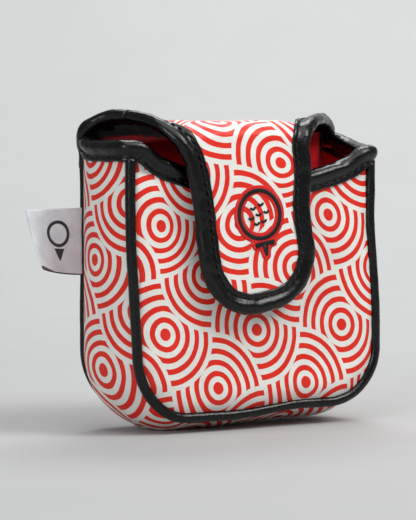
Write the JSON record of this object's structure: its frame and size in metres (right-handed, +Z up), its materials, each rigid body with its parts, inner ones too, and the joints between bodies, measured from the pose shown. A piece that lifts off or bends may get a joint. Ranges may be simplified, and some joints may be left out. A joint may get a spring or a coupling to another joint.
{
  "type": "mallet putter head cover",
  "caption": "Padded leather pouch for a mallet putter head, with a folding flap that closes over its mouth by hidden magnets.",
  "frame": {"origin": "on the floor, under the middle of the pouch", "axes": "+X to the right when facing the front panel, +Y towards the back panel, +Z up through the mouth"},
  "size_m": [0.1657, 0.0548, 0.1345],
  "materials": {
    "printed_leather": "cream synthetic leather printed with red overlapping rings, fine grain, soft sheen",
    "black_leather": "black synthetic leather, pebbled grain, semi-gloss",
    "red_plush": "short-pile red plush",
    "foam": "pale sheet padding, never seen",
    "piping_cord": "twisted filler cord, never seen",
    "magnet_steel": "nickel-plated disc magnets, never seen",
    "red_thread": "red embroidery thread, satin sheen",
    "black_thread": "black embroidery thread, satin sheen",
    "label_satin": "pale grey woven satin ribbon with a black lower edge"
  },
  "bodies": {
    "pouch": {"front_panel": "printed_leather", "back_panel": "printed_leather", "gusset_panel": "printed_leather", "front_foam": "foam", "back_foam": "foam", "gusset_foam": "foam", "front_lining": "red_plush", "back_lining": "red_plush", "gusset_lining": "red_plush", "front_piping_cover": "black_leather", "back_piping_cover": "black_leather", "front_piping_cord": "piping_cord", "back_piping_cord": "piping_cord", "mouth_binding": "black_leather", "shoulder_binding": "black_leather", "pouch_magnets": "magnet_steel", "rear_fold_panel": "printed_leather", "rear_fold_lining": "red_plush", "rear_fold_binding": "black_leather"},
    "flap_top": {"flap_top_panel": "printed_leather", "flap_top_foam": "foam", "flap_top_lining": "red_plush", "flap_top_binding": "black_leather", "front_fold_panel": "printed_leather", "front_fold_lining": "red_plush", "front_fold_binding": "black_leather"},
    "flap_front": {"flap_front_panel": "printed_leather", "flap_front_foam": "foam", "flap_front_lining": "red_plush", "flap_front_binding": "black_leather", "flap_magnets": "magnet_steel", "emblem_border": "red_thread", "emblem_thread": "black_thread"},
    "label": {"side_label": "label_satin"}
  },
  "joints": [
    {"name": "rear_fold", "type": "hinge", "parent": "pouch", "child": "flap_top", "pos_m": [0, 0.0128, 0.1261], "axis": [-1, 0, 0], "range_deg": [0, 120], "deforming": ["rear_fold_panel", "rear_fold_lining", "rear_fold_binding"]},
    {"name": "front_fold", "type": "hinge", "parent": "flap_top", "child": "flap_front", "pos_m": [0, -0.0202, 0.1261], "axis": [-1, 0, 0], "range_deg": [0, 85], "deforming": ["front_fold_panel", "front_fold_lining", "front_fold_binding"]},
    {"name": "label_bend", "type": "hinge", "parent": "pouch", "child": "label", "pos_m": [-0.0665, 0.0198, 0.081], "axis": [0, 0, 1], "range_deg": [-45, 45], "stiffness_Nm_per_rad": 0.001}
  ]
}
